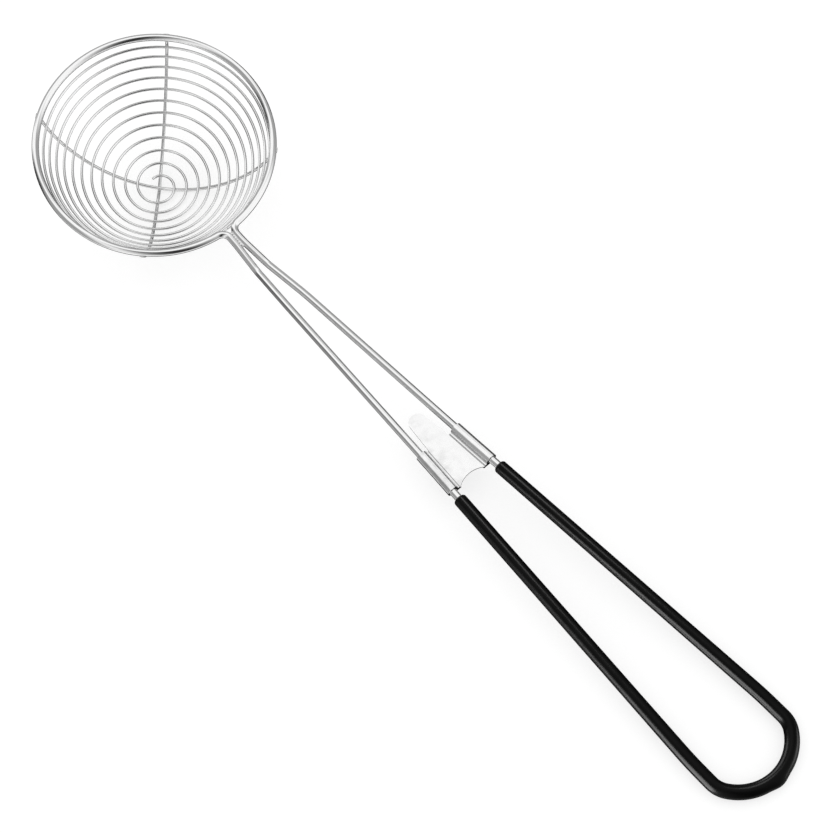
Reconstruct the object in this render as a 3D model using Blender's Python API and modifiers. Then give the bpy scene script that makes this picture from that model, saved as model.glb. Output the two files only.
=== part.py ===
"""A strainer spoon: a bowl of spiral wire on a wire handle with a dipped grip.

One thick wire makes the bowl's ring and, past a welded neck, the two front legs of the handle. Two bowed
wires cross under the ring and end in pads pressed flat on its outer side, and one thin wire winds over them
in a spiral. A pressed plate with a round tongue is rolled round the legs and round the two ends of the
handle's own wire, which is bent to a loop and dipped.

Two frames carry the pieces. In the ring's frame the ring lies in the XY plane round the origin, the handle
runs towards +X and the bowl hangs below. The handle's frame starts at the bend behind the neck, with X along
the handle. The ring's frame is tilted until the bowl and the end of the grip both rest on the table.
"""
import math

import bmesh
import bpy
import numpy as np
from mathutils import Vector

MM = 0.001

# Space left between pieces that touch or are welded on the real spoon
GAP = 0.3 * MM

# Ring and neck; lengths named FROM_RING start at the middle of the ring's wire
RING_OUTER_D = 100 * MM
FRAME_WIRE_D = 3.0 * MM
NECK_BEND_R = 4.0 * MM
NECK_CLEARANCE = 0.2 * MM
NECK_SHIFT = -0.7 * MM
NECK_END_FROM_RING = 7.5 * MM
WELD_FROM_RING = 6.7 * MM
WELD_LENGTH = 6.8 * MM
WELD_WIDTH = 3.0 * MM
WELD_HEIGHT = 2.7 * MM

# Bowl: depth and width at the middle of the bowed wires, and how full its sides are (0.5 is an ellipse)
BOWL_DEPTH = 42.3 * MM
BOWL_PAST_RING = 0.5 * MM
BOWL_SHAPE = 0.72
BOWL_LEAN = 2.1 * MM
LEAN_FROM_DEPTH = 5.0 * MM
CROSS_WIRE_D = 1.3 * MM
UNDER_AZIMUTHS = (math.radians(136.3), math.radians(-43.7))
OVER_AZIMUTHS = (math.radians(-143.2), math.radians(47.8))
HOOK_BEND_R = 2.0 * MM
HOOK_END_ANGLE = math.radians(8)
PAD_THICKNESS = 0.6 * MM
PAD_WIDTH = 2.7 * MM
DIP_HALF_LENGTH = 6.0 * MM

# Spiral, from its first crossing of the under wire to its end at the neck
SPIRAL_WIRE_D = 1.1 * MM
SPIRAL_FIRST_ARC = 5.2 * MM
SPIRAL_FIRST_PITCH = 5.6 * MM
SPIRAL_FULL_TURNS = 11
SPIRAL_TAIL_TURNS = 0.12
SPIRAL_TO_RING = 1.1 * MM

# Legs and handle, measured from the bend behind the neck
BEND_FROM_RING = 21.7 * MM
BEND_R = 12 * MM
HANDLE_RISE = math.radians(15.4)
LEG_KNEE = 22 * MM
LEG_KNEE_SPACING = 8.7 * MM
BUTT = 118.85 * MM
BUTT_SPACING = 18.2 * MM
NECK_FLARE_R = 60 * MM
KNEE_R = 200 * MM
HANDLE_END = 282.1 * MM
LOOP_SPACING = 34.2 * MM
LOOP_CORNER_R = 9 * MM
CROWN_PAST_SIDE = 1.9 * MM
LOOP_STRAIGHT = 10 * MM
LOOP_FLARE_R = 150 * MM

# Grip
GRIP_D = 5.2 * MM
BARE_WIRE = 3.8 * MM
SHOULDER_LENGTH = 1.2 * MM
SHOULDER_LAND = 0.15 * MM
DRIP_LENGTH = 10.5 * MM
DRIP_HEIGHT = 0.45 * MM
DRIP_THICKNESS = 4.0 * MM

# Plate
SHEET = 0.4 * MM
SLEEVE_LENGTH = 19.3 * MM
FOLD_TO_WIRE = 2.6 * MM
CORNER_TO_WIRE = 3.68 * MM
FOLD_R = 0.6 * MM
LAP_OVERLAP = 0.4 * MM
TONGUE_LENGTH = 15.9 * MM
TONGUE_TIP_R = 3.75 * MM
REAR_HOLLOW = 2.0 * MM

# Largest distance between a round stretch and its chords
WIRE_SAG = 0.05 * MM
SPIRAL_SAG = 0.2 * MM
SHEET_SAG = 0.02 * MM

# Sides of a tube for each Bevel resolution are 4 + 2 * resolution
THICK_WIRE_RESOLUTION = 4
THIN_WIRE_RESOLUTION = 2
SPIRAL_RESOLUTION = 1
GRIP_RESOLUTION = 6

# Values that follow from the ones above
FRAME_WIRE_R = FRAME_WIRE_D / 2
CROSS_WIRE_R = CROSS_WIRE_D / 2
SPIRAL_WIRE_R = SPIRAL_WIRE_D / 2
GRIP_R = GRIP_D / 2
BORE_R = FRAME_WIRE_R + GAP
RING_R = RING_OUTER_D / 2 - FRAME_WIRE_R
NECK_SPACING = FRAME_WIRE_D + NECK_CLEARANCE
NECK_END_X = RING_R + NECK_END_FROM_RING
WELD_CENTRE_X = RING_R + WELD_FROM_RING
BOWL_R = RING_R + BOWL_PAST_RING
BEND_X = RING_R + BEND_FROM_RING
SPIRAL_INSET = CROSS_WIRE_R + GAP + SPIRAL_WIRE_R
SPIRAL_TURNS = SPIRAL_FULL_TURNS + UNDER_AZIMUTHS[0] / math.tau
BEND_HALF = BEND_R * math.tan(HANDLE_RISE / 2)
LOOP_HALF = LOOP_SPACING / 2
LOOP_CROWN_R = LOOP_HALF + CROWN_PAST_SIDE
CROWN_X = HANDLE_END - LOOP_CROWN_R
CORNER_Y = LOOP_HALF - LOOP_CORNER_R
CORNER_X = CROWN_X + math.sqrt((LOOP_CROWN_R - LOOP_CORNER_R) ** 2 - CORNER_Y ** 2)
FLARE_END = CORNER_X - LOOP_STRAIGHT
SLEEVE_FRONT = BUTT - SLEEVE_LENGTH / 2
SLEEVE_REAR = BUTT + SLEEVE_LENGTH / 2
GRIP_START = SLEEVE_REAR + BARE_WIRE
ROLL_R = FRAME_WIRE_R + GAP + SHEET / 2
WEB_Z = -ROLL_R + SHEET + GAP


def arc(centre, radius, start, end, sag=WIRE_SAG):
    """Points along a round stretch in a plane, both ends included, no chord further off than the sag."""
    step = 2 * math.acos(1 - sag / radius)
    count = max(2, math.ceil(abs(end - start) / step))
    angles = [start + (end - start) * index / count for index in range(count + 1)]
    return [(centre[0] + radius * math.cos(angle), centre[1] + radius * math.sin(angle)) for angle in angles]


def rounded(corners, radii):
    """A line through plane corners, where each inner corner is turned on its own radius."""
    points = [corners[0]]
    for before, corner, after, radius in zip(corners, corners[1:], corners[2:], radii):
        arriving = (Vector(corner) - Vector(before)).normalized()
        leaving = (Vector(after) - Vector(corner)).normalized()
        turn = math.atan2(arriving.cross(leaving), arriving.dot(leaving))
        side = math.copysign(1, turn)
        start = Vector(corner) - arriving * radius * math.tan(abs(turn) / 2)
        centre = start + Vector((-arriving.y, arriving.x)) * side * radius
        first = math.atan2(start.y - centre.y, start.x - centre.x)
        points += arc(centre, radius, first, first + turn)
    return points + [corners[-1]]


def mirrored(points):
    """The points seen in the handle's plane of symmetry, in reverse order."""
    return [Vector((point.x, -point.y, point.z)) for point in reversed(points)]


def chord_error(places):
    """How far plane points stray from the straight line between the first and the last."""
    chord = places[-1] - places[0]
    normal = np.array((-chord[1], chord[0])) / np.linalg.norm(chord)
    return np.abs((places - places[0]) @ normal).max()


def thinned(line, sag=WIRE_SAG):
    """A finely stepped plane line with only the points that keep its chords within the sag."""
    places = np.array(line)
    kept = [0]
    while kept[-1] < len(line) - 1:
        end = kept[-1] + 1
        while end + 1 < len(line) and chord_error(places[kept[-1]:end + 2]) <= sag:
            end += 1
        kept.append(end)
    return [line[index] for index in kept]


def new_material(name, colour, roughness, metallic):
    """A plain Principled material in the piece's own colour."""
    material = bpy.data.materials.new(name)
    material.use_nodes = True
    shader = material.node_tree.nodes["Principled BSDF"]
    shader.inputs["Base Color"].default_value = (*colour, 1)
    shader.inputs["Roughness"].default_value = roughness
    shader.inputs["Metallic"].default_value = metallic
    return material


def new_steel(name):
    """Bright stainless steel."""
    return new_material(name, (0.72, 0.72, 0.71), 0.18, 1.0)


def new_object(name, data, collection, parent, material=None):
    """An object in its collection, placed in the frame of the empty that carries it."""
    thing = bpy.data.objects.new(name, data)
    collection.objects.link(thing)
    thing.parent = parent
    if material:
        data.materials.append(material)
    return thing


def new_cutter(name, data, parent):
    """A helper shape for a Boolean, kept out of the render and drawn as wire."""
    cutter = new_object(name, data, CUTTERS, parent)
    cutter.hide_render = True
    cutter.display_type = "WIRE"
    return cutter


def wire_curve(name, points, radius, resolution, radii=None):
    """A tube along the points, with closed ends; radii may set its radius point by point."""
    curve = bpy.data.curves.new(name, "CURVE")
    curve.dimensions = "3D"
    curve.bevel_depth = radius
    curve.bevel_resolution = resolution
    curve.use_fill_caps = True
    spline = curve.splines.new("POLY")
    spline.points.add(len(points) - 1)
    for index, point in enumerate(points):
        spline.points[index].co = (*point, 1)
        spline.points[index].radius = radii[index] / radius if radii else 1
    spline.use_smooth = True
    return curve


def wire_mesh(name, points, radius, resolution, radii=None):
    """The same tube as a closed mesh, with its end caps welded on, for work that a curve can't take."""
    curve = wire_curve(name, points, radius, resolution, radii)
    helper = bpy.data.objects.new(name, curve)
    bpy.context.scene.collection.objects.link(helper)
    bpy.context.view_layer.update()
    evaluated = helper.evaluated_get(bpy.context.evaluated_depsgraph_get())
    mesh = bpy.data.meshes.new_from_object(evaluated)
    bpy.data.objects.remove(helper)
    bpy.data.curves.remove(curve)
    shell = bmesh.new()
    shell.from_mesh(mesh)
    bmesh.ops.remove_doubles(shell, verts=shell.verts, dist=0.001 * MM)
    shell.to_mesh(mesh)
    shell.free()
    mesh.shade_smooth()
    return mesh


def egg_mesh(name, centre, lengths, segments=16, rings=10):
    """A closed ellipsoid with these three overall lengths."""
    shell = bmesh.new()
    bmesh.ops.create_uvsphere(shell, u_segments=segments, v_segments=rings, radius=0.5)
    bmesh.ops.scale(shell, verts=shell.verts, vec=lengths)
    bmesh.ops.translate(shell, verts=shell.verts, vec=centre)
    mesh = bpy.data.meshes.new(name)
    shell.to_mesh(mesh)
    shell.free()
    mesh.shade_smooth()
    return mesh


def add_boolean(thing, cutter, operation):
    """A Boolean with its operand, and sharp edges kept where two rounds meet."""
    boolean = thing.modifiers.new(cutter.name, "BOOLEAN")
    boolean.operation = operation
    boolean.solver = "EXACT"
    boolean.object = cutter


def wire_y(along):
    """Half the spacing of the two legs, or of the handle's two sides, at a distance from the bend."""
    stations = (LEG_KNEE, BUTT, FLARE_END)
    halves = (LEG_KNEE_SPACING / 2, BUTT_SPACING / 2, LOOP_HALF)
    return float(np.interp(along, stations, halves))


def raised(point):
    """Takes a plan point of the legs up through the bend behind the neck, into the ring's frame."""
    along, y = point
    past = along - (BEND_X - BEND_HALF)
    if past <= 0:
        return Vector((along, y, 0))
    turned = HANDLE_RISE * min(past / (2 * BEND_HALF), 1)
    straight = max(along - (BEND_X + BEND_HALF), 0)
    x = BEND_X - BEND_HALF + BEND_R * math.sin(turned) + straight * math.cos(turned)
    z = BEND_R * (1 - math.cos(turned)) + straight * math.sin(turned)
    return Vector((x, y, z))


def raised_line(plan):
    """The legs' plan line raised point by point, with the points that the bend itself needs."""
    bend = [BEND_X + BEND_HALF * share for share in (-1, -1 / 3, 1 / 3, 1)]
    points = [raised(plan[0])]
    for start, end in zip(plan, plan[1:]):
        for stop in bend:
            if start[0] < stop < end[0]:
                share = (stop - start[0]) / (end[0] - start[0])
                points.append(raised((stop, start[1] + (end[1] - start[1]) * share)))
        points.append(raised(end))
    return points


def half_frame(neck_y):
    """The ring from its far side, the neck's reverse bend and one leg, on the side of +Y."""
    bend_y = neck_y + NECK_BEND_R
    bend_x = math.sqrt((RING_R + NECK_BEND_R) ** 2 - bend_y ** 2)
    tangent = math.atan2(bend_y, bend_x)
    ring = arc((0, 0), RING_R, math.pi, tangent)
    neck = arc((bend_x, bend_y), NECK_BEND_R, math.pi + tangent, 1.5 * math.pi)
    leg_end = BUTT - GAP / 2
    corners = [
        (bend_x, neck_y),
        (NECK_END_X, neck_y),
        (BEND_X + LEG_KNEE, wire_y(LEG_KNEE)),
        (BEND_X + leg_end, wire_y(leg_end)),
    ]
    leg = rounded(corners, (NECK_FLARE_R, KNEE_R))
    return raised_line(ring + neck[1:] + leg[1:])


def frame_wire_points():
    """Both halves in one line. The neck's middle stands a little to one side of the ring's."""
    left = half_frame(NECK_SPACING / 2 - NECK_SHIFT)
    right = half_frame(NECK_SPACING / 2 + NECK_SHIFT)
    return mirrored(left[1:]) + right


def make_frame_wire(ring_frame):
    """Ring, neck and legs in one wire, closed at the neck by a bead of weld."""
    mesh = wire_mesh("frame_wire", frame_wire_points(), FRAME_WIRE_R, THICK_WIRE_RESOLUTION)
    wire = new_object("frame_wire", mesh, PARTS, ring_frame, new_steel("frame_wire"))
    bead = egg_mesh("neck_weld", (WELD_CENTRE_X, NECK_SHIFT, 0), (WELD_LENGTH, WELD_WIDTH, WELD_HEIGHT))
    add_boolean(wire, new_cutter("neck_weld", bead, ring_frame), "UNION")
    return wire


def bowl_depth(radius):
    """Depth of the bowed wires' middle below the ring, at a distance from the bowl's axis."""
    return BOWL_DEPTH * max(1 - (radius / BOWL_R) ** 2, 0) ** BOWL_SHAPE


def leaning(point):
    """A point of the bowl moved sideways the more the deeper it lies, since the bowl hangs a little askew."""
    share = max(-point.z - LEAN_FROM_DEPTH, 0) / (BOWL_DEPTH - LEAN_FROM_DEPTH)
    return Vector((point.x, point.y - BOWL_LEAN * share, point.z))


def bow(middle, chord_axis, dip):
    """A plane cut through the bowl as distances along the chord and heights above the bottom.

    The cut runs through the bottom and the chord with this middle. Each height is found by halving. The dip
    carries the wire down where the other bowed wire crosses over it.
    """
    reach = math.sqrt(BOWL_R ** 2 - middle.length_squared)
    rise = math.hypot(middle.length, BOWL_DEPTH)
    line = []
    count = 240
    for index in range(count + 1):
        along = reach * math.sin(math.pi * (index / count - 0.5))
        low, high = 0.0, 1.0
        for _ in range(30):
            share = (low + high) / 2
            place = middle * share + chord_axis * along
            if BOWL_DEPTH * (1 - share) > bowl_depth(place.length):
                low = share
            else:
                high = share
        nearness = max(1 - abs(along) / DIP_HALF_LENGTH, 0)
        line.append((along, rise * share - dip * math.sin(nearness * math.pi / 2) ** 2))
    return line


def hook(ring, line):
    """One end of a bowed wire in its own plane: the reverse bend under the ring, then the wrap up its side.

    The reverse bend touches the bow and the wrap from outside, and its centre is found by halving. Given back
    are the place in the line where the bend begins, and the steps past it: each a point, its half thickness
    towards the ring and its half width along the ring.
    """
    apart = FRAME_WIRE_R + GAP + CROSS_WIRE_R + HOOK_BEND_R
    low, high = -math.pi / 2, 0.0
    for _ in range(40):
        under = (low + high) / 2
        bend = (ring[0] + apart * math.cos(under), ring[1] + apart * math.sin(under))
        distances = np.hypot(*(np.array(line) - bend).T)
        if distances.min() < HOOK_BEND_R:
            low = under
        else:
            high = under
    touch = int(distances.argmin())
    leaving = math.atan2(line[touch][1] - bend[1], line[touch][0] - bend[0]) % math.tau
    turn = arc(bend, HOOK_BEND_R, leaving, under + math.pi)
    steps = [(point, CROSS_WIRE_R, CROSS_WIRE_R) for point in turn]
    count = 8
    for index in range(1, count + 1):
        share = index / count
        pressed = share * share * (3 - 2 * share)
        half_thickness = CROSS_WIRE_R + (PAD_THICKNESS / 2 - CROSS_WIRE_R) * pressed
        half_width = CROSS_WIRE_R + (PAD_WIDTH / 2 - CROSS_WIRE_R) * pressed
        radius = FRAME_WIRE_R + GAP + half_thickness
        angle = under + (HOOK_END_ANGLE - under) * share
        point = (ring[0] + radius * math.cos(angle), ring[1] + radius * math.sin(angle))
        steps.append((point, half_thickness, half_width))
    return touch, steps


def press_flat(mesh, points, halves, across):
    """Presses a round wire's mesh to the half thickness and half width wanted at each point."""
    for vertex in mesh.vertices:
        offsets = [(vertex.co - point).length for point in points]
        index = offsets.index(min(offsets))
        half_thickness, half_width = halves[index]
        if half_width == CROSS_WIRE_R:
            continue
        before = points[max(index - 1, 0)]
        after = points[min(index + 1, len(points) - 1)]
        normal = (after - before).normalized().cross(across)
        offset = vertex.co - points[index]
        thickness = normal * offset.dot(normal) * half_thickness / CROSS_WIRE_R
        width = across * offset.dot(across) * half_width / CROSS_WIRE_R
        vertex.co = points[index] + thickness + width


def make_cross_wire(name, azimuths, dip, ring_frame):
    """A wire bowed in one plane through two points of the ring and the bowl's bottom, with pads at its ends."""
    first, last = [Vector((RING_R * math.cos(angle), RING_R * math.sin(angle), 0)) for angle in azimuths]
    middle = (first + last) / 2
    bottom = Vector((0, 0, -BOWL_DEPTH))
    chord_axis = (last - first).normalized()
    rise_axis = (middle - bottom).normalized()
    across = chord_axis.cross(rise_axis)
    line = bow(middle, chord_axis, dip)
    ring = ((last - first).length / 2, (middle - bottom).length)
    touch, steps = hook(ring, line)
    arch = thinned(line[len(line) - touch:touch])
    left = [((-point[0], point[1]), thick, wide) for point, thick, wide in reversed(steps)]
    wire = left + [(point, CROSS_WIRE_R, CROSS_WIRE_R) for point in arch] + steps
    points = [leaning(bottom + chord_axis * point[0] + rise_axis * point[1]) for point, _, _ in wire]
    mesh = wire_mesh(name, points, CROSS_WIRE_R, THIN_WIRE_RESOLUTION)
    press_flat(mesh, points, [(thick, wide) for _, thick, wide in wire], across)
    return new_object(name, mesh, PARTS, ring_frame, new_steel(name))


def spiral_profile():
    """Radii, heights and lengths along the surface on which the spiral's middle lies, up to its end.

    The surface stands inside the bowed wires' by half of each wire and the gap.
    """
    angles = np.linspace(0, math.radians(89), 900)
    outer_radii = BOWL_R * np.sin(angles)
    outer_heights = -BOWL_DEPTH * np.cos(angles) ** (2 * BOWL_SHAPE)
    out = np.gradient(outer_radii)
    up = np.gradient(outer_heights)
    radii = outer_radii - SPIRAL_INSET * up / np.hypot(out, up)
    heights = outer_heights + SPIRAL_INSET * out / np.hypot(out, up)
    radii[0] = 0
    lengths = np.concatenate(([0], np.cumsum(np.hypot(np.diff(radii), np.diff(heights)))))
    to_ring = np.hypot(RING_R - radii, heights)
    end = int(np.argmax(to_ring < FRAME_WIRE_R + SPIRAL_TO_RING + SPIRAL_WIRE_R))
    return radii[:end], heights[:end], lengths[:end]


def spiral_points(sag):
    """The spiral from its inner tail to its end under the ring, clockwise as it opens, seen from above.

    Its pitch changes evenly from the first one to what the last turn leaves.
    """
    radii, heights, lengths = spiral_profile()
    rest = lengths[-1] - SPIRAL_FIRST_ARC - SPIRAL_FIRST_PITCH * SPIRAL_TURNS
    points = []
    turn = -SPIRAL_TAIL_TURNS
    while turn < SPIRAL_TURNS:
        length = SPIRAL_FIRST_ARC + SPIRAL_FIRST_PITCH * turn + rest * (turn / SPIRAL_TURNS) ** 2
        radius = float(np.interp(length, lengths, radii))
        height = float(np.interp(length, lengths, heights))
        azimuth = UNDER_AZIMUTHS[0] - turn * math.tau
        points.append(leaning(Vector((radius * math.cos(azimuth), radius * math.sin(azimuth), height))))
        turn += math.acos(1 - sag / radius) / math.pi
    points.append(leaning(Vector((radii[-1], 0, heights[-1]))))
    return points


def least_gap(points, diameter):
    """The least space between a wire's own turns, measured between all points well apart along it."""
    places = np.array([tuple(point) for point in points])
    steps = np.linalg.norm(np.diff(places, axis=0), axis=1)
    along = np.concatenate(([0], np.cumsum(steps)))
    least = math.inf
    for place, distance in zip(places, along):
        others = places[along > distance + 8 * diameter]
        if len(others):
            least = min(least, np.linalg.norm(others - place, axis=1).min())
    return least - diameter


def make_spiral_wire(ring_frame):
    """One unbroken thin wire, wound over the bowed wires."""
    curve = wire_curve("spiral_wire", spiral_points(SPIRAL_SAG), SPIRAL_WIRE_R, SPIRAL_RESOLUTION)
    gap = least_gap(spiral_points(SPIRAL_SAG / 20), SPIRAL_WIRE_D)
    print(f"spiral_wire: least gap between turns {gap / MM:.2f} mm")
    return new_object("spiral_wire", curve, PARTS, ring_frame, new_steel("spiral_wire"))


def handle_points(start):
    """The handle's loop from the middle of its crown back to a distance from the bend, then mirrored."""
    meeting = math.atan2(CORNER_Y, CORNER_X - CROWN_X)
    crown = arc((CROWN_X, 0), LOOP_CROWN_R, 0, meeting)
    corner = arc((CORNER_X, CORNER_Y), LOOP_CORNER_R, meeting, math.pi / 2)
    side = rounded([(CORNER_X, LOOP_HALF), (FLARE_END, LOOP_HALF), (start, wire_y(start))], (LOOP_FLARE_R,))
    half = [Vector((x, y, 0)) for x, y in crown + corner[1:] + side[1:]]
    return mirrored(half[1:]) + half


def make_handle_wire(handle_frame):
    """The handle's own wire, whose two ends meet the legs in the plate's sleeves."""
    points = handle_points(BUTT + GAP / 2)
    curve = wire_curve("handle_wire", points, FRAME_WIRE_R, THICK_WIRE_RESOLUTION)
    return new_object("handle_wire", curve, PARTS, handle_frame, new_steel("handle_wire"))


def make_grip_coat(handle_frame):
    """The dipped coat: round shoulders, a bore for the wire and the drip at the loop's end."""
    shoulder = []
    count = 4
    fall = GRIP_R - BORE_R - SHOULDER_LAND
    for index in range(count):
        angle = index / count * math.pi / 2
        along = GRIP_START + SHOULDER_LENGTH * (1 - math.cos(angle))
        shoulder.append((Vector((along, wire_y(along), 0)), GRIP_R - fall * (1 - math.sin(angle))))
    loop = handle_points(GRIP_START + SHOULDER_LENGTH)
    last = [(point, radius) for point, radius in reversed(shoulder)]
    first = [(Vector((point.x, -point.y, 0)), radius) for point, radius in shoulder]
    line = first + [(point, GRIP_R) for point in loop] + last
    points = [point for point, _ in line]
    radii = [radius for _, radius in line]
    mesh = wire_mesh("grip_coat", points, GRIP_R, GRIP_RESOLUTION, radii)
    black = new_material("grip_coat", (0.012, 0.012, 0.012), 0.45, 0.0)
    coat = new_object("grip_coat", mesh, PARTS, handle_frame, black)
    drip_x = HANDLE_END + GRIP_R + DRIP_HEIGHT - DRIP_THICKNESS / 2
    drip = egg_mesh("grip_drip", (drip_x, 0, 0), (DRIP_THICKNESS, DRIP_LENGTH, DRIP_THICKNESS))
    add_boolean(coat, new_cutter("grip_drip", drip, handle_frame), "UNION")
    bore = wire_mesh("grip_bore", handle_points(SLEEVE_REAR), BORE_R, THICK_WIRE_RESOLUTION)
    add_boolean(coat, new_cutter("grip_bore", bore, handle_frame), "DIFFERENCE")
    return coat


def sleeve_section(along):
    """The middle of the sheet across one side: corner, fold, roll round the wire and lap under the web."""
    centre_y = wire_y(along)
    fold_y = centre_y - FOLD_TO_WIRE
    rise = math.atan2(-WEB_Z, FOLD_TO_WIRE) + math.asin(ROLL_R / math.hypot(FOLD_TO_WIRE, WEB_Z))
    fold_start = fold_y - FOLD_R * math.tan(rise / 2)
    right_angle = math.pi / 2
    fold = arc((fold_start, WEB_Z + FOLD_R), FOLD_R, -right_angle, rise - right_angle, SHEET_SAG)
    roll = arc((centre_y, 0), ROLL_R, right_angle + rise, -right_angle, SHEET_SAG)
    corner = (centre_y - CORNER_TO_WIRE, WEB_Z)
    lap_end = (corner[0] - LAP_OVERLAP, -ROLL_R)
    return [Vector((along, y, z)) for y, z in [corner] + fold + roll + [lap_end]]


def tongue_outline(side):
    """Half of the tongue, from the sleeve's corner to its round tip on the plane of symmetry."""
    tip = (SLEEVE_FRONT - TONGUE_LENGTH + TONGUE_TIP_R, 0)
    to_side = Vector((side.x - tip[0], side.y))
    touch = math.atan2(to_side.y, to_side.x) + math.acos(TONGUE_TIP_R / to_side.length)
    return [Vector((x, y, WEB_Z)) for x, y in arc(tip, TONGUE_TIP_R, touch, math.pi, SHEET_SAG)]


def rear_outline(corner):
    """Half of the web's hollow rear edge, from the plane of symmetry out to the sleeve's corner."""
    radius = (corner.y ** 2 + REAR_HOLLOW ** 2) / (2 * REAR_HOLLOW)
    centre = (corner.x - REAR_HOLLOW + radius, 0)
    reach = math.asin(corner.y / radius)
    return [Vector((x, y, WEB_Z)) for x, y in arc(centre, radius, math.pi, math.pi - reach, SHEET_SAG)]


def make_clip_plate(handle_frame):
    """Half of the plate's middle surface: a flat web with its tongue, and the side rolled round the wires."""
    shell = bmesh.new()
    rows = []
    for along in (SLEEVE_FRONT, BUTT, SLEEVE_REAR):
        rows.append([shell.verts.new(point) for point in sleeve_section(along)])
    for front, rear in zip(rows, rows[1:]):
        for column in range(len(front) - 1):
            shell.faces.new((front[column], rear[column], rear[column + 1], front[column + 1]))
    rear_edge = [shell.verts.new(point) for point in rear_outline(rows[-1][0].co)[:-1]]
    side_edge = [row[0] for row in reversed(rows)]
    tongue_edge = [shell.verts.new(point) for point in tongue_outline(rows[0][0].co)]
    shell.faces.new(list(reversed(rear_edge + side_edge + tongue_edge)))
    bmesh.ops.recalc_face_normals(shell, faces=shell.faces)
    mesh = bpy.data.meshes.new("clip_plate")
    shell.to_mesh(mesh)
    shell.free()
    mesh.shade_smooth()
    mesh.set_sharp_from_angle(angle=math.radians(35))
    plate = new_object("clip_plate", mesh, PARTS, handle_frame, new_steel("clip_plate"))
    mirror = plate.modifiers.new("other_side", "MIRROR")
    mirror.use_axis = (False, True, False)
    mirror.merge_threshold = 0.01 * MM
    sheet = plate.modifiers.new("sheet", "SOLIDIFY")
    sheet.thickness = SHEET
    sheet.offset = 0
    sheet.use_even_offset = True
    return plate


def evaluated_points(thing, frame):
    """A piece's corners as the modifiers leave them, in the frame of an empty."""
    evaluated = thing.evaluated_get(bpy.context.evaluated_depsgraph_get())
    mesh = evaluated.to_mesh()
    flat = np.empty(len(mesh.vertices) * 3)
    mesh.vertices.foreach_get("co", flat)
    evaluated.to_mesh_clear()
    to_frame = np.array(frame.matrix_world.inverted() @ thing.matrix_world)
    return flat.reshape(-1, 3) @ to_frame[:3, :3].T + to_frame[:3, 3]


def tilted(points, tilt):
    """Points turned about Y by the tilt."""
    turned = points.copy()
    turned[:, 0] = points[:, 0] * math.cos(tilt) + points[:, 2] * math.sin(tilt)
    turned[:, 2] = points[:, 2] * math.cos(tilt) - points[:, 0] * math.sin(tilt)
    return turned


def stand_on_table(ring_frame, bowl, grip):
    """Tilts the ring's frame until bowl and grip are level, then sets the middle of the base at the origin."""
    bpy.context.view_layer.update()
    bowl_points = np.vstack([evaluated_points(piece, ring_frame) for piece in bowl])
    grip_points = evaluated_points(grip, ring_frame)
    low, high = 0.0, math.radians(45)
    for _ in range(40):
        tilt = (low + high) / 2
        if tilted(grip_points, tilt)[:, 2].min() > tilted(bowl_points, tilt)[:, 2].min():
            low = tilt
        else:
            high = tilt
    everything = tilted(np.vstack([evaluated_points(piece, ring_frame) for piece in PARTS.objects]), tilt)
    lowest, highest = everything.min(axis=0), everything.max(axis=0)
    middle = (lowest + highest) / 2
    ring_frame.rotation_euler = (0, tilt, 0)
    ring_frame.location = (-middle[0], -middle[1], -lowest[2])
    print(f"tilt {math.degrees(tilt):.2f} degrees, size {(highest - lowest) / MM} mm")


def make_spoon():
    """All pieces, each in the frame that carries it."""
    ring_frame = new_object("ring_frame", None, GUIDES, None)
    handle_frame = new_object("handle_frame", None, GUIDES, ring_frame)
    handle_frame.location = (BEND_X, 0, 0)
    handle_frame.rotation_euler = (0, -HANDLE_RISE, 0)
    make_frame_wire(ring_frame)
    under = make_cross_wire("cross_wire_under", UNDER_AZIMUTHS, CROSS_WIRE_D + GAP, ring_frame)
    over = make_cross_wire("cross_wire_over", OVER_AZIMUTHS, 0, ring_frame)
    spiral = make_spiral_wire(ring_frame)
    make_clip_plate(handle_frame)
    make_handle_wire(handle_frame)
    grip = make_grip_coat(handle_frame)
    stand_on_table(ring_frame, (under, over, spiral), grip)


for old in list(bpy.data.objects):
    bpy.data.objects.remove(old)
PARTS = bpy.data.collections.new("strainer_spoon")
CUTTERS = bpy.data.collections.new("cutters")
GUIDES = bpy.data.collections.new("frames")
for collection in (PARTS, CUTTERS, GUIDES):
    bpy.context.scene.collection.children.link(collection)
make_spoon()
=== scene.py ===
import math

import bmesh
import bpy
import numpy as np
from mathutils import Euler, Matrix, Vector


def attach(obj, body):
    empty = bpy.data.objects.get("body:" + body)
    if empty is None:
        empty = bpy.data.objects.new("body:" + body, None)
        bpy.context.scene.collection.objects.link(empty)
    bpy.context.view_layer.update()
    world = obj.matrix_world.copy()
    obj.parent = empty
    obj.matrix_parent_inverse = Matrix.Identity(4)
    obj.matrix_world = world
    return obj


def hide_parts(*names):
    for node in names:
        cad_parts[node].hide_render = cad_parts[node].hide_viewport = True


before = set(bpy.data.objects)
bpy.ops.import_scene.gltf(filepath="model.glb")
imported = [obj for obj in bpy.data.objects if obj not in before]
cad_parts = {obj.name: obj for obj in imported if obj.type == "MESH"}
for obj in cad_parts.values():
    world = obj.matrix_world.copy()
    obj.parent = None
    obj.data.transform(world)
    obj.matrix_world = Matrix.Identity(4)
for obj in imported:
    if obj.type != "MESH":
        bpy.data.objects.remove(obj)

bl_info = {
    "name": "Strainer Spoon",
    "version": (1, 0, 0),
    "blender": (4, 5, 0),
    "location": "View3D > Sidebar > Strainer Spoon",
    "description": "Dresses the strainer spoon: steel wire, rolled plate, welds and dipped grip",
    "category": "Add Mesh",
}

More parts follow.
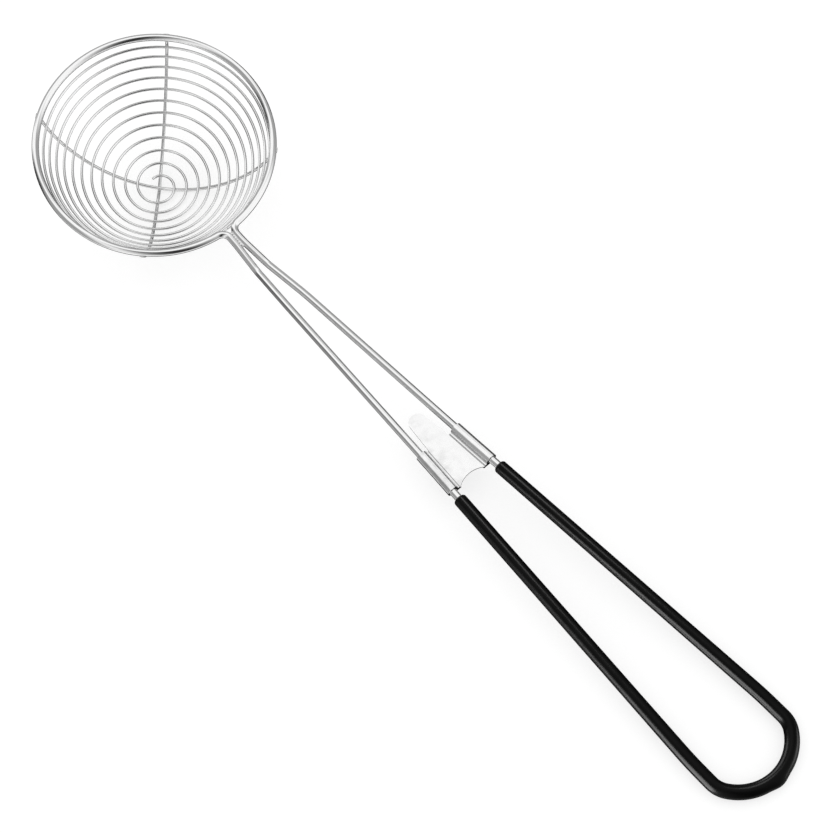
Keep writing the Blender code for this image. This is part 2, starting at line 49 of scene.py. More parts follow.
MM = 0.001
TAU = math.tau
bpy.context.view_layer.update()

# The ring's own frame on the table: the ring lies in its XY plane, the handle runs along +X
RING_TILT = math.radians(18.856047)
RING_PLACE = (-151.8478 * MM, 0.0127 * MM, 42.2891 * MM)

# Ring, neck and legs
NECK_BEND_R = 4.0 * MM
NECK_SPACING = 3.2 * MM
NECK_SHIFT = -0.7 * MM
NECK_END_X = 56 * MM
BEND_X = 70.2 * MM
BEND_R = 12 * MM
HANDLE_RISE = math.radians(15.4)
LEG_KNEE = 22 * MM
LEG_KNEE_SPACING = 8.7 * MM
BUTT = 118.85 * MM
BUTT_SPACING = 18.2 * MM
NECK_FLARE_R = 60 * MM
KNEE_R = 200 * MM

# Weld at the neck
WELD_START = 50.5 * MM
WELD_END = 58.5 * MM
WELD_RISE = 0.25 * MM
WELD_FALL = 0.15 * MM
WELD_RIPPLE = 0.05
WELD_PITCH = 1.15 * MM
WELD_HALF_WIDTH = 1.25 * MM
WELD_HALF_HEIGHT = 0.95 * MM
NECK_WELD_ROUGHNESS = 0.2

# Bowl
BOWL_R = 49.0 * MM
BOWL_SHAPE = 0.72
BOWL_LEAN = 2.1 * MM
LEAN_FROM_DEPTH = 5.0 * MM
UNDER_AZIMUTHS = (math.radians(136.3), math.radians(-43.7))
OVER_AZIMUTHS = (math.radians(-143.2), math.radians(47.8))
HOOK_BEND_R = 2.0 * MM
HOOK_END_ANGLE = math.radians(8)
PAD_THICKNESS = 0.4 * MM
PAD_WIDTH = 2.5 * MM
PRESSED_BY = 0.22
PRESSED_IN_BEND = 0.8
DIP_HALF_LENGTH = 6.0 * MM
SPIRAL_FIRST_ARC = 5.2 * MM
SPIRAL_FIRST_PITCH = 5.6 * MM
SPIRAL_FULL_TURNS = 11
SPIRAL_TAIL_TURNS = 0.12
SPIRAL_TO_RING = 1.1 * MM
SPOT_HALVES = (0.62 * MM, 0.56 * MM, 0.34 * MM)
SPOT_REACH = 1.15
SPOT_WELD_ROUGHNESS = 0.18

# Handle loop and grip
HANDLE_END = 282.1 * MM
LOOP_SPACING = 34.2 * MM
LOOP_CORNER_R = 9 * MM
LOOP_CROWN_R = 19 * MM
LOOP_STRAIGHT = 10 * MM
LOOP_FLARE_R = 150 * MM
BUTT_GAP = 0.15 * MM
BARE_WIRE = 3.8 * MM
SHOULDER_LENGTH = 1.0 * MM
DRIP_HEIGHT = 0.62 * MM
DRIP_HALF_LENGTH = 4.8 * MM
DRIP_FADE = 1.5
COAT_GLOSS = 0.07

# Plate
PLATE_TOP = -1.1 * MM
SLEEVE_LENGTH = 19.3 * MM
SLEEVE_OUTER_R = 2.2 * MM
CORNER_TO_WIRE = 3.68 * MM
LEDGE_TO_WIRE = 2.85 * MM
LEDGE_RISE = 0.45 * MM
FOLD_R = 0.3 * MM
INNER_ROLL = 0.3 * MM
LAP_TO_WIRE = 4.0 * MM
TONGUE_LENGTH = 15.9 * MM
TONGUE_TIP_R = 3.75 * MM
REAR_HOLLOW = 2.0 * MM
EDGE_BEVEL = 0.06 * MM
EDGE_ANGLE = math.radians(60)
EDGE_SEGMENTS = 2
MERGE_WITHIN = 0.002 * MM
SLIVER = 0.0005 * MM

# How finely lines are drawn: the step on each kind of run, and the points of the others
ARC_STEP = 0.35 * MM
RING_STEP = 0.9 * MM
STRAIGHT_STEP = 0.8 * MM
FOLD_STEP = 0.06 * MM
LEDGE_STEP = 0.1 * MM
ROLL_STEP = 0.2 * MM
LAP_STEP = 0.5 * MM
TONGUE_STEP = 0.6 * MM
NOSE_STEP = 0.25 * MM
ARC_LEAST = 8
STRAIGHT_LEAST = 3
SAME_POINT = 1e-7
BOW_POINTS = 321
BEND_POINTS = 25
WRAP_POINTS = 33
PROFILE_SPAN = math.radians(89)
PROFILE_POINTS = 2400
SPIRAL_POINTS = 1400
WELD_POINTS = 90
END_POINTS = 7
END_CLEAR = 1.05
EGG_RINGS = 9
EGG_SEGMENTS = 14
SLEEVE_ROWS = 25
WEB_COLUMNS = 33
RIB_SEARCH = 1600
SPIRAL_SEARCH = 7000
SEARCH_BLOCK = 500
HALVINGS = 40

# Sides of each tube and how far its ends are rounded
FRAME_TUBE = (40, 0.25 * MM)
BOWED_TUBE = (24, 0.15 * MM)
SPIRAL_TUBE = (18, 0.2 * MM)
HANDLE_TUBE = (32, 0.25 * MM)
WELD_TUBE = (28, 0.85 * MM)
GRIP_SIDES = 48

# Scales of the finishes' patterns to the metre: along and round a wire, or along the axes
WIRE_LINES = (220, 9000, 1)
WIRE_RIPPLES = (260, 300, 1)
PLATE_RUBBING = (900, 5200, 900)
PLATE_CLOUDS = 260.0
WELD_GRAIN = 900.0
COAT_WAVES = 160.0
COAT_GRAIN = 3800.0
# Where across the plate its mottle is weakest and strongest
MOTTLE_EDGES = (1 * MM, -5 * MM)

# The photograph's camera in the ring's frame: right, down, forward, and offset in millimetres
CAMERA_RIGHT = (0.649863, 0.756831, 0.067705)
CAMERA_DOWN = (0.741083, -0.611615, -0.276485)
CAMERA_FORWARD = (-0.167844, 0.229852, -0.95863)
CAMERA_OFFSET = (-107.695, -112.597, 677.217)
CAMERA_LENS = 71.0956
SENSOR = 36.0
NEAR_LIMIT = 0.01

LOOP_HALF = LOOP_SPACING / 2
CROWN_X = HANDLE_END - LOOP_CROWN_R
CORNER_Y = LOOP_HALF - LOOP_CORNER_R
CORNER_X = CROWN_X + math.sqrt((LOOP_CROWN_R - LOOP_CORNER_R) ** 2 - CORNER_Y ** 2)
FLARE_END = CORNER_X - LOOP_STRAIGHT
SLEEVE_FRONT = BUTT - SLEEVE_LENGTH / 2
SLEEVE_REAR = BUTT + SLEEVE_LENGTH / 2
GRIP_START = SLEEVE_REAR + BARE_WIRE
SPIRAL_TURNS = SPIRAL_FULL_TURNS + UNDER_AZIMUTHS[0] / TAU

RING_FRAME = Matrix.Translation(RING_PLACE) @ Matrix.Rotation(RING_TILT, 4, "Y")
BEND_FRAME = RING_FRAME @ Matrix.Translation((BEND_X, 0, 0))
HANDLE_FRAME = BEND_FRAME @ Matrix.Rotation(-HANDLE_RISE, 4, "Y")
RING_TURN = np.array(RING_FRAME.to_3x3())
RING_UP = RING_TURN[:, 2]
HANDLE_UP = np.array(HANDLE_FRAME.to_3x3())[:, 2]


# Plane lines

def arc(centre, radius, start, end, step=ARC_STEP):
    """Circle: centre + radius * (cos a, sin a), with a going evenly from start to end."""
    count = max(ARC_LEAST, int(abs(end - start) * radius / step))
    angle = np.linspace(start, end, count)
    return np.stack([centre[0] + radius * np.cos(angle), centre[1] + radius * np.sin(angle)], 1)


def straight(start, end, step=STRAIGHT_STEP):
    """Straight run: start + t * (end - start), with t going evenly from 0 to 1."""
    start, end = np.array(start, float), np.array(end, float)
    count = max(STRAIGHT_LEAST, int(np.linalg.norm(end - start) / step))
    share = np.linspace(0, 1, count)[:, None]
    return start + share * (end - start)


def chain(*runs):
    """Runs end to end in one line, without the point that two neighbours share."""
    line = [runs[0]]
    for run in runs[1:]:
        shared = np.allclose(line[-1][-1], run[0], atol=SAME_POINT)
        line.append(run[1:] if shared else run)
    return np.concatenate(line)


def turned_corner(before, corner, after, radius):
    """A corner turned on its radius: the arc starts radius * tan(turn / 2) before the corner."""
    before, corner, after = [np.array(point, float) for point in (before, corner, after)]
    arriving = (corner - before) / np.linalg.norm(corner - before)
    leaving = (after - corner) / np.linalg.norm(after - corner)
    across = arriving[0] * leaving[1] - arriving[1] * leaving[0]
    turn = math.atan2(across, float(arriving @ leaving))
    start = corner - arriving * radius * math.tan(abs(turn) / 2)
    centre = start + np.array((-arriving[1], arriving[0])) * math.copysign(radius, turn)
    first = math.atan2(start[1] - centre[1], start[0] - centre[0])
    return arc(centre, radius, first, first + turn, STRAIGHT_STEP)


def wire_y(along):
    """Half the spacing of legs and loop sides: straight between the knee, butt and flare."""
    stations = (LEG_KNEE, BUTT, FLARE_END)
    halves = (LEG_KNEE_SPACING / 2, BUTT_SPACING / 2, LOOP_HALF)
    return np.interp(along, stations, halves)


def raised(plan):
    """Plan line of the legs taken up behind the neck: flat, then an arc, then a straight rise."""
    half = BEND_R * math.tan(HANDLE_RISE / 2)
    past = plan[:, 0] - (BEND_X - half)
    turned = HANDLE_RISE * np.clip(past / (2 * half), 0, 1)
    beyond = np.maximum(past - 2 * half, 0)
    x = BEND_X - half + BEND_R * np.sin(turned) + beyond * np.cos(turned)
    x = np.where(past <= 0, plan[:, 0], x)
    z = BEND_R * (1 - np.cos(turned)) + beyond * np.sin(turned)
    return np.stack([x, plan[:, 1], z], 1)


def half_frame(neck_y, ring_r):
    """Plan of half the thick wire: ring from its far side, reverse bend at the neck, one leg."""
    bend_y = neck_y + NECK_BEND_R
    bend_x = math.sqrt((ring_r + NECK_BEND_R) ** 2 - bend_y ** 2)
    tangent = math.atan2(bend_y, bend_x)
    knee = (BEND_X + LEG_KNEE, LEG_KNEE_SPACING / 2)
    flare = turned_corner((bend_x, neck_y), (NECK_END_X, neck_y), knee, NECK_FLARE_R)
    butt = (BEND_X + BUTT, BUTT_SPACING / 2)
    bend = turned_corner((NECK_END_X, neck_y), knee, butt, KNEE_R)
    return chain(
        arc((0, 0), ring_r, math.pi, tangent, RING_STEP),
        arc((bend_x, bend_y), NECK_BEND_R, math.pi + tangent, 1.5 * math.pi),
        straight((bend_x, neck_y), flare[0]),
        flare,
        straight(flare[-1], bend[0]),
        bend,
        straight(bend[-1], butt),
    )


def frame_path(sizes):
    """Ring, neck and both legs in one line, in the ring's frame."""
    ring_r = (sizes.ring_outer - sizes.frame_wire) / 2
    left = raised(half_frame(NECK_SPACING / 2 - NECK_SHIFT, ring_r)) * (1, -1, 1)
    right = raised(half_frame(NECK_SPACING / 2 + NECK_SHIFT, ring_r))
    return np.concatenate([left[:0:-1], right])


def loop_path(start):
    """The loop in the handle's frame: crown, two corners, and sides that flare to the start."""
    meeting = math.atan2(CORNER_Y, CORNER_X - CROWN_X)
    side = (start, float(wire_y(start)))
    flare = turned_corner((CORNER_X, LOOP_HALF), (FLARE_END, LOOP_HALF), side, LOOP_FLARE_R)
    half = chain(
        arc((CROWN_X, 0), LOOP_CROWN_R, 0, meeting),
        arc((CORNER_X, CORNER_Y), LOOP_CORNER_R, meeting, math.pi / 2),
        straight((CORNER_X, LOOP_HALF), flare[0]),
        flare,
        straight(flare[-1], side),
    )
    flat = np.concatenate([(half * (1, -1))[:0:-1], half])
    return np.column_stack([flat, np.zeros(len(flat))])


# Lines of the bowl

def bowl_depth(radius, depth):
    """Depth below the ring: depth * (1 - (radius / bowl radius)^2) ^ shape."""
    return depth * np.clip(1 - (radius / BOWL_R) ** 2, 0, None) ** BOWL_SHAPE


def leaning(points, depth):
    """Moves each point sideways in proportion to its depth below the ring."""
    share = np.clip((-points[:, 2] - LEAN_FROM_DEPTH) / (depth - LEAN_FROM_DEPTH), 0, None)
    return points - np.outer(share, (0, BOWL_LEAN, 0))


def bow(middle, chord_axis, depth, dip):
    """Plane cut through the bowl: distances along the chord, and heights where it meets the bowl.

    The heights are found by halving, for all points at once. The dip is a squared sine.
    """
    reach = math.sqrt(BOWL_R ** 2 - float(middle @ middle))
    along = reach * np.sin(np.linspace(-math.pi / 2, math.pi / 2, BOW_POINTS))
    low, high = np.zeros_like(along), np.ones_like(along)
    for _ in range(HALVINGS):
        share = (low + high) / 2
        place = middle * share[:, None] + chord_axis * along[:, None]
        under = depth * (1 - share) > bowl_depth(np.linalg.norm(place, axis=1), depth)
        low, high = np.where(under, share, low), np.where(under, high, share)
    rise = math.hypot(float(np.linalg.norm(middle)), depth)
    nearness = np.clip(1 - np.abs(along) / DIP_HALF_LENGTH, 0, None)
    return np.stack([along, rise * share - dip * np.sin(nearness * math.pi / 2) ** 2], 1)


def hook(ring, line, sizes):
    """Reverse bend under the ring and wrap up its side, with half thicknesses and half widths.

    The bend touches the bow and the ring, and its place round the ring is found by halving. The
    end is pressed by 3 e^2 - 2 e^3 as e goes from 0 to 1, partly in the bend and the rest in the
    wrap, and the side that faces the ring keeps its distance from the bend's centre.
    """
    wire_r, ring_wire_r = sizes.cross_wire / 2, sizes.frame_wire / 2
    apart = ring_wire_r + wire_r + HOOK_BEND_R
    low, high = -math.pi / 2, 0.0
    for _ in range(HALVINGS):
        under = (low + high) / 2
        bend = ring + apart * np.array((math.cos(under), math.sin(under)))
        distances = np.linalg.norm(line - bend, axis=1)
        low, high = (under, high) if distances.min() < HOOK_BEND_R else (low, under)
    touch = int(distances.argmin())
    leaving = math.atan2(line[touch][1] - bend[1], line[touch][0] - bend[0]) % TAU
    in_bend, in_wrap = np.linspace(0, 1, BEND_POINTS), np.linspace(0, 1, WRAP_POINTS)[1:]
    rest = (1 - PRESSED_IN_BEND) * np.minimum(in_wrap / PRESSED_BY, 1)
    early = np.concatenate([PRESSED_IN_BEND * in_bend, PRESSED_IN_BEND + rest])
    pressed = early * early * (3 - 2 * early)
    thick = wire_r + (PAD_THICKNESS / 2 - wire_r) * pressed
    wide = wire_r + (PAD_WIDTH / 2 - wire_r) * pressed
    bend_angle = leaving + (under + math.pi - leaving) * in_bend
    bend_r = HOOK_BEND_R + wire_r - thick[:len(in_bend)]
    turn = bend + bend_r[:, None] * np.stack([np.cos(bend_angle), np.sin(bend_angle)], 1)
    angle = under + (HOOK_END_ANGLE - under) * in_wrap
    wrap_r = ring_wire_r + thick[len(in_bend):]
    wrap = ring + wrap_r[:, None] * np.stack([np.cos(angle), np.sin(angle)], 1)
    return touch, np.concatenate([turn, wrap]), np.stack([thick, wide], 1)


def rib_path(azimuths, sizes):
    """A bowed wire in the ring's frame: points, half thicknesses and widths, plane's normal."""
    ring_r = (sizes.ring_outer - sizes.frame_wire) / 2
    first, last = [ring_r * np.array((math.cos(a), math.sin(a), 0)) for a in azimuths]
    middle, bottom = (first + last) / 2, np.array((0, 0, -sizes.bowl_depth))
    chord_axis = (last - first) / np.linalg.norm(last - first)
    rise_axis = (middle - bottom) / np.linalg.norm(middle - bottom)
    dip = sizes.cross_wire if azimuths is UNDER_AZIMUTHS else 0.0
    line = bow(middle, chord_axis, sizes.bowl_depth, dip)
    ring = np.array((np.linalg.norm(last - first) / 2, np.linalg.norm(middle - bottom)))
    touch, steps, halves = hook(ring, line, sizes)
    arch = line[len(line) - touch:touch]
    flat = np.concatenate([(steps * (-1, 1))[::-1], arch, steps])
    arch_halves = round_halves(arch, sizes.cross_wire / 2)
    sizes_along = np.concatenate([halves[::-1], arch_halves, halves])
    points = bottom + flat[:, :1] * chord_axis + flat[:, 1:] * rise_axis
    return leaning(points, sizes.bowl_depth), sizes_along, np.cross(chord_axis, rise_axis)


def spiral_path(sizes):
    """The spiral in the ring's frame, inside the bowed wires along the normal of their profile.

    Length along the profile = first arc + pitch * turn + rest * (turn / turns)^2, and
    azimuth = start - 2 pi * turn.
    """
    angles = np.linspace(0, PROFILE_SPAN, PROFILE_POINTS)
    out_r = BOWL_R * np.sin(angles)
    out_z = -sizes.bowl_depth * np.cos(angles) ** (2 * BOWL_SHAPE)
    out, up = np.gradient(out_r), np.gradient(out_z)
    run = np.hypot(out, up)
    inset = (sizes.cross_wire + sizes.spiral_wire) / 2
    radii, heights = out_r - inset * up / run, out_z + inset * out / run
    radii[0] = 0
    lengths = np.concatenate(([0], np.cumsum(np.hypot(np.diff(radii), np.diff(heights)))))
    ring_r = (sizes.ring_outer - sizes.frame_wire) / 2
    to_ring = np.hypot(ring_r - radii, heights)
    near = (sizes.frame_wire + sizes.spiral_wire) / 2 + SPIRAL_TO_RING
    end = int(np.argmax(to_ring < near))
    turn = np.linspace(-SPIRAL_TAIL_TURNS, SPIRAL_TURNS, SPIRAL_POINTS)
    rest = lengths[end - 1] - SPIRAL_FIRST_ARC - SPIRAL_FIRST_PITCH * SPIRAL_TURNS
    length = SPIRAL_FIRST_ARC + SPIRAL_FIRST_PITCH * turn + rest * (turn / SPIRAL_TURNS) ** 2
    radius, height = np.interp(length, lengths, radii), np.interp(length, lengths, heights)
    azimuth = UNDER_AZIMUTHS[0] - turn * TAU
    points = np.stack([radius * np.cos(azimuth), radius * np.sin(azimuth), height], 1)
    return leaning(points, sizes.bowl_depth)


# Surfaces

def placed(points, matrix):
    """Points taken through a frame's matrix."""
    table = np.array(matrix)
    return points @ table[:3, :3].T + table[:3, 3]


def unit(vectors):
    """Vectors scaled to length one."""
    return vectors / np.linalg.norm(vectors, axis=-1, keepdims=True)


def lengths_along(path):
    """Distance run from the first point to each point."""
    return np.concatenate(([0], np.cumsum(np.linalg.norm(np.diff(path, axis=0), axis=1))))


def round_halves(path, radius):
    """The same half thickness and half width at every point."""
    return np.full((len(path), 2), radius)


def with_round_ends(path, halves, rounding):
    """Adds close points at both ends and takes a quarter circle off the section there."""
    along = lengths_along(path)
    depth = rounding * (1 - np.cos(np.linspace(0, math.pi / 2, END_POINTS)))
    clear = rounding * END_CLEAR
    inner = along[(along > clear) & (along < along[-1] - clear)]
    stations = np.concatenate([depth, inner, (along[-1] - depth)[::-1]])
    new_path = np.stack([np.interp(stations, along, path[:, axis]) for axis in range(3)], 1)
    new_halves = np.stack([np.interp(stations, along, halves[:, axis]) for axis in range(2)], 1)
    near = np.minimum(stations, along[-1] - stations)
    from_full = 1 - np.clip(near / rounding, 0, 1)
    inside = rounding * (1 - np.sqrt(1 - from_full ** 2))
    return new_path, new_halves - inside[:, None]


def carried(path, halves, across, sides):
    """Ellipse carried along a path. The rows follow the path and the columns go once round.

    Place = point + across * half width * cos a + normal * half thickness * sin a, and the normal
    is across times the tangent.
    """
    tangent = unit(np.gradient(path, axis=0))
    normal = unit(np.cross(np.broadcast_to(across, path.shape), tangent))
    side = np.cross(tangent, normal)
    angle = np.linspace(0, TAU, sides, endpoint=False)
    wide = side[:, None] * (halves[:, 1, None] * np.cos(angle))[..., None]
    thick = normal[:, None] * (halves[:, 0, None] * np.sin(angle))[..., None]
    return path[:, None] + wide + thick


def new_mesh(name, vertices, quads, uv=None):
    """Mesh from whole arrays. A quad whose last corner repeats its first is a triangle."""
    mesh = bpy.data.meshes.new(name)
    triangle = quads[:, 0] == quads[:, 3]
    sizes = np.where(triangle, 3, 4)
    keep = np.ones(quads.shape, bool)
    keep[triangle, 3] = False
    mesh.vertices.add(len(vertices))
    mesh.vertices.foreach_set("co", vertices.astype(np.float32).ravel())
    mesh.loops.add(int(sizes.sum()))
    mesh.loops.foreach_set("vertex_index", quads[keep].astype(np.int32))
    mesh.polygons.add(len(quads))
    starts = np.concatenate(([0], np.cumsum(sizes)[:-1]))
    mesh.polygons.foreach_set("loop_start", starts.astype(np.int32))
    mesh.polygons.foreach_set("loop_total", sizes.astype(np.int32))
    mesh.update(calc_edges=True)
    mesh.validate()
    if uv is not None:
        layer = mesh.uv_layers.new(name="along")
        layer.data.foreach_set("uv", uv[keep].astype(np.float32).ravel())
    mesh.shade_smooth()
    return mesh


def tube_arrays(grid):
    """Vertices, quads and UVs of a closed tube. The UVs are metres along and round it."""
    rows, sides = grid.shape[:2]
    count = rows * sides
    row, side = np.meshgrid(np.arange(rows - 1), np.arange(sides), indexing="ij")
    after = (side + 1) % sides
    here, ahead = row * sides, (row + 1) * sides
    quads = np.stack([here + side, ahead + side, ahead + after, here + after], -1)
    along = lengths_along(grid.mean(1))
    girth = np.linalg.norm(grid[rows // 2] - np.roll(grid[rows // 2], 1, 0), axis=1).sum()
    u, v = along[row], side / sides * girth
    u_next, v_next = along[row + 1], (side + 1) / sides * girth
    corners = ((u, v), (u_next, v), (u_next, v_next), (u, v_next))
    uv = np.stack([np.stack(corner, -1) for corner in corners], -2)
    columns = np.arange(sides)
    turned = (columns + 1) % sides
    first_pole, last_pole = np.full(sides, count), np.full(sides, count + 1)
    last_row = (rows - 1) * sides
    first = np.stack([first_pole, columns, turned, first_pole], -1)
    last = np.stack([last_pole, last_row + turned, last_row + columns, last_pole], -1)
    cap_v = np.stack([columns, columns, columns + 1, columns], -1) / sides * girth
    first_uv = np.stack([np.zeros((sides, 4)), cap_v], -1)
    last_uv = np.stack([np.full((sides, 4), along[-1]), cap_v[:, [0, 2, 1, 0]]], -1)
    vertices = np.concatenate([grid.reshape(-1, 3), [grid[0].mean(0), grid[-1].mean(0)]])
    faces = np.concatenate([quads.reshape(-1, 4), first, last])
    return vertices, faces, np.concatenate([uv.reshape(-1, 4, 2), first_uv, last_uv])


def merged(parts):
    """Several arrays of vertices, quads and UVs as one."""
    offsets = np.cumsum([0] + [len(part[0]) for part in parts[:-1]])
    vertices, quads, uv = zip(*parts)
    quads = [faces + offset for faces, offset in zip(quads, offsets)]
    return np.concatenate(vertices), np.concatenate(quads), np.concatenate(uv)


def facing_out(arrays):
    """The same arrays with every face turned outward."""
    vertices, quads, uv = arrays
    corners = vertices[quads]
    volume = np.einsum("ij,ij->", corners[:, 0], np.cross(corners[:, 1], corners[:, 2]))
    volume += np.einsum("ij,ij->", corners[:, 0], np.cross(corners[:, 2], corners[:, 3]))
    if volume > 0:
        return arrays
    order = [0, 3, 2, 1]
    flipped = quads[:, order]
    triangle = quads[:, 0] == quads[:, 3]
    flipped[triangle] = quads[triangle][:, [0, 2, 1, 0]]
    uv_flipped = uv[:, order]
    uv_flipped[triangle] = uv[triangle][:, [0, 2, 1, 0]]
    return vertices, flipped, uv_flipped


def round_tube(path, halves, across, sides, rounding):
    """Arrays of a tube with closed, rounded ends."""
    path, halves = with_round_ends(path, halves, rounding)
    return facing_out(tube_arrays(carried(path, halves, across, sides)))


def egg(centre, axes, halves):
    """Arrays of an ellipsoid: centre + axes * halves * (cos a cos b, cos a sin b, sin a)."""
    lift = np.linspace(-math.pi / 2, math.pi / 2, EGG_RINGS + 2)[1:-1]
    turn = np.linspace(0, TAU, EGG_SEGMENTS, endpoint=False)
    ball = np.stack([
        np.outer(np.cos(lift), np.cos(turn)),
        np.outer(np.cos(lift), np.sin(turn)),
        np.outer(np.sin(lift), np.ones(EGG_SEGMENTS)),
    ], -1)
    vertices, quads, uv = tube_arrays(centre + (ball * halves) @ axes)
    vertices[-2:] = centre + np.outer((-halves[2], halves[2]), axes[2])
    return facing_out((vertices, quads, uv))


def new_piece(name, arrays, material, node):
    """Object of a piece that rides on the root and stands for its CAD node."""
    mesh = new_mesh(name, *arrays)
    mesh.materials.append(material)
    piece = bpy.data.objects.new(name, mesh)
    bpy.context.scene.collection.objects.link(piece)
    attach(piece, "root")
    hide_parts(node)
    return piece


# Materials

def add_node(tree, kind, inputs=(), **options):
    """Adds a node. An input that is given as a socket is linked, and any other is set."""
    node = tree.nodes.new(kind)
    for key, value in options.items():
        setattr(node, key, value)
    for key, value in dict(inputs).items():
        if isinstance(value, bpy.types.NodeSocket):
            tree.links.new(value, node.inputs[key])
        else:
            node.inputs[key].default_value = value
    return node


class SurfaceFinish:
    """A material's node tree, with its shader at hand."""

    def __init__(self, name, metallic=1.0):
        self.material = bpy.data.materials.new(name)
        self.material.use_nodes = True
        self.tree = self.material.node_tree
        self.shader = self.tree.nodes["Principled BSDF"]
        self.set("Metallic", metallic)

    def set(self, name, value):
        """Sets a socket of the shader, or links it where the value is a socket."""
        if isinstance(value, bpy.types.NodeSocket):
            self.tree.links.new(value, self.shader.inputs[name])
        else:
            self.shader.inputs[name].default_value = value

    def add(self, kind, inputs=(), **options):
        """First output of a new node."""
        return add_node(self.tree, kind, inputs, **options).outputs[0]

    def own_place(self):
        """Where a point lies in the piece's own coordinates."""
        return add_node(self.tree, "ShaderNodeTexCoord").outputs["Object"]

    def scaled(self, place, scale):
        """The place with each coordinate times its scale."""
        return self.add("ShaderNodeMapping", {"Vector": place, "Scale": scale})

    def noise(self, place, detail, scale=1.0):
        """Level of a noise, about 0.5 in the middle."""
        return self.add("ShaderNodeTexNoise", {"Vector": place, "Scale": scale, "Detail": detail})

    def fitted(self, level, low=0.0, high=1.0, least=0.0, most=1.0):
        """Goes from least to most as the level goes from low to high."""
        ends = {"From Min": low, "From Max": high, "To Min": least, "To Max": most}
        return self.add("ShaderNodeMapRange", {"Value": level, **ends})

    def tint(self, level, colour, first=1.0, last=1.0, low=0.0, high=1.0):
        """Colour times a share that goes from first to last as the level goes from low to high."""
        node = add_node(self.tree, "ShaderNodeValToRGB", {"Fac": level})
        for stop, share, place in zip(node.color_ramp.elements, (first, last), (low, high)):
            stop.position = place
            stop.color = (*(channel * share for channel in colour), 1)
        self.set("Base Color", node.outputs["Color"])

    def roughen(self, level, roughness, least, most):
        """Roughness times a share that goes from least to most with the level."""
        self.set("Roughness", self.fitted(level, least=roughness * least, most=roughness * most))

    def emboss(self, height, strength, distance, **below):
        """Tilts the normal by a height, over the bumps that lie below."""
        inputs = {"Height": height, "Strength": strength, "Distance": distance, **below}
        normal = self.add("ShaderNodeBump", inputs)
        self.set("Normal", normal)
        return normal


def drawn_steel(name, finish):
    """Bright drawn wire: fine lines along it and slight ripples, laid by the wire's own UVs."""
    surface = SurfaceFinish(name)
    own = surface.add("ShaderNodeUVMap", uv_map="along")
    lines = surface.noise(surface.scaled(own, WIRE_LINES), detail=3.0)
    ripple = surface.noise(surface.scaled(own, WIRE_RIPPLES), detail=2.0)
    surface.tint(lines, finish.steel, first=0.93, low=0.3, high=0.6)
    surface.roughen(ripple, finish.wire_roughness, least=0.75, most=1.35)
    height = surface.add("ShaderNodeMath", {0: lines, 1: ripple}, operation="ADD")
    surface.emboss(height, strength=0.25, distance=0.03 * MM)
    return surface.material


def pressed_steel(name, finish):
    """Sheet stainless, lightly rubbed across, with a mottle that is stronger towards one sleeve."""
    surface = SurfaceFinish(name)
    place = surface.own_place()
    cloud = surface.noise(place, detail=5.0, scale=PLATE_CLOUDS)
    marks = surface.noise(surface.scaled(place, PLATE_RUBBING), detail=4.0)
    across = add_node(surface.tree, "ShaderNodeSeparateXYZ", {"Vector": place}).outputs["Y"]
    side = surface.fitted(across, *MOTTLE_EDGES, least=0.3)
    worn = surface.fitted(cloud, low=0.58, high=0.38)
    share = surface.add("ShaderNodeMath", {0: side, 1: worn}, operation="MULTIPLY")
    surface.tint(share, finish.steel, last=0.84)
    surface.roughen(cloud, finish.plate_roughness, least=0.8, most=1.5)
    surface.emboss(marks, strength=0.2, distance=0.03 * MM)
    return surface.material


def weld_metal(name, finish, roughness):
    """Melted steel: uneven, a little duller and darker than the wire."""
    surface = SurfaceFinish(name)
    grain = surface.noise(surface.own_place(), detail=4.0, scale=WELD_GRAIN)
    surface.tint(grain, finish.steel, first=0.72, low=0.35, high=0.65)
    surface.roughen(grain, roughness, least=1.0, most=1.8)
    surface.emboss(grain, strength=0.5, distance=0.08 * MM)
    return surface.material


def dipped_plastic(name, finish):
    """Soft black coat with a satin skin, slow waves left by the dip and fine grain."""
    surface = SurfaceFinish(name, metallic=0.0)
    surface.set("Specular IOR Level", COAT_GLOSS)
    place = surface.own_place()
    waves = surface.noise(place, detail=2.0, scale=COAT_WAVES)
    grain = surface.noise(place, detail=3.0, scale=COAT_GRAIN)
    surface.tint(waves, finish.coat, last=1.6, low=0.35, high=0.75)
    surface.roughen(waves, finish.coat_roughness, least=0.85, most=1.2)
    coarse = surface.emboss(waves, strength=0.3, distance=0.2 * MM)
    surface.emboss(grain, strength=0.12, distance=0.02 * MM, Normal=coarse)
    return surface.material


def pale_floor(name, colour):
    """Plain pale floor that keeps the object's shadow and is white to the camera."""
    surface = SurfaceFinish(name, metallic=0.0)
    surface.set("Roughness", FLOOR_ROUGHNESS)
    surface.set("Specular IOR Level", 0.0)
    surface.set("Base Color", (*colour, 1))
    path = add_node(surface.tree, "ShaderNodeLightPath").outputs
    level = path["Is Camera Ray"]
    for other in (path["Is Glossy Ray"], path["Is Transmission Ray"]):
        level = surface.add("ShaderNodeMath", {0: level, 1: other}, operation="MAXIMUM")
    level = surface.add("ShaderNodeMath", {0: level, 1: FLOOR_LIFT}, operation="MULTIPLY")
    lift = surface.add("ShaderNodeEmission", {"Color": WHITE, "Strength": level})
    total = surface.add("ShaderNodeAddShader", {0: surface.shader.outputs["BSDF"], 1: lift})
    surface.tree.links.new(total, surface.tree.nodes["Material Output"].inputs["Surface"])
    return surface.material


# Settings

def length_setting(name, description, default):
    return bpy.props.FloatProperty(
        name=name, description=description, default=default, unit="LENGTH", precision=5)


def share_setting(name, description, default):
    return bpy.props.FloatProperty(
        name=name, description=description, default=default, min=0, max=1, subtype="FACTOR")


